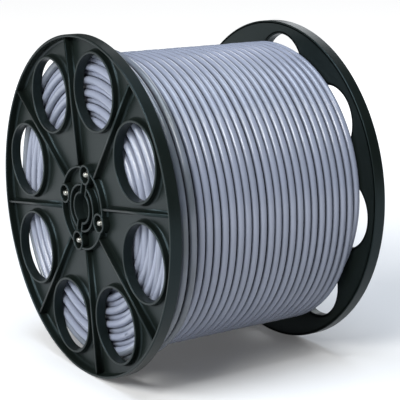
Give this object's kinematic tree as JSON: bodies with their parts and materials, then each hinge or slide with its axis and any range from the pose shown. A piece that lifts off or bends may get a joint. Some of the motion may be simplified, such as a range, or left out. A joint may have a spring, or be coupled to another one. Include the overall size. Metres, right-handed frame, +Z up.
{
  "type": "plastic cable drum",
  "caption": "Black plastic drum wound with grey sheathed cable, with ribbed flanges, round hand holes and a keyed spindle bore.",
  "frame": {"origin": "on the floor under the drum's middle, where its rims rest", "axes": "+Y along the drum's axis from the front flange to the rear one, +Z up, +X across the drum"},
  "size_m": [0.5, 0.363, 0.5],
  "materials": {
    "drum_plastic": "black moulded plastic with a soft sheen",
    "cable_sheath": "smooth light grey cable sheath",
    "zinc_steel": "bright zinc plate"
  },
  "bodies": {
    "root": {"front_flange": "drum_plastic", "rear_flange": "drum_plastic", "barrel": "drum_plastic", "cable_winding": "cable_sheath", "tie_rod_1": "zinc_steel", "tie_rod_2": "zinc_steel", "tie_rod_3": "zinc_steel", "tie_rod_4": "zinc_steel", "front_washer_1": "zinc_steel", "front_washer_2": "zinc_steel", "front_washer_3": "zinc_steel", "front_washer_4": "zinc_steel", "rear_washer_1": "zinc_steel", "rear_washer_2": "zinc_steel", "rear_washer_3": "zinc_steel", "rear_washer_4": "zinc_steel", "front_nut_1": "zinc_steel", "front_nut_2": "zinc_steel", "front_nut_3": "zinc_steel", "front_nut_4": "zinc_steel", "rear_nut_1": "zinc_steel", "rear_nut_2": "zinc_steel", "rear_nut_3": "zinc_steel", "rear_nut_4": "zinc_steel"}
  },
  "joints": []
}
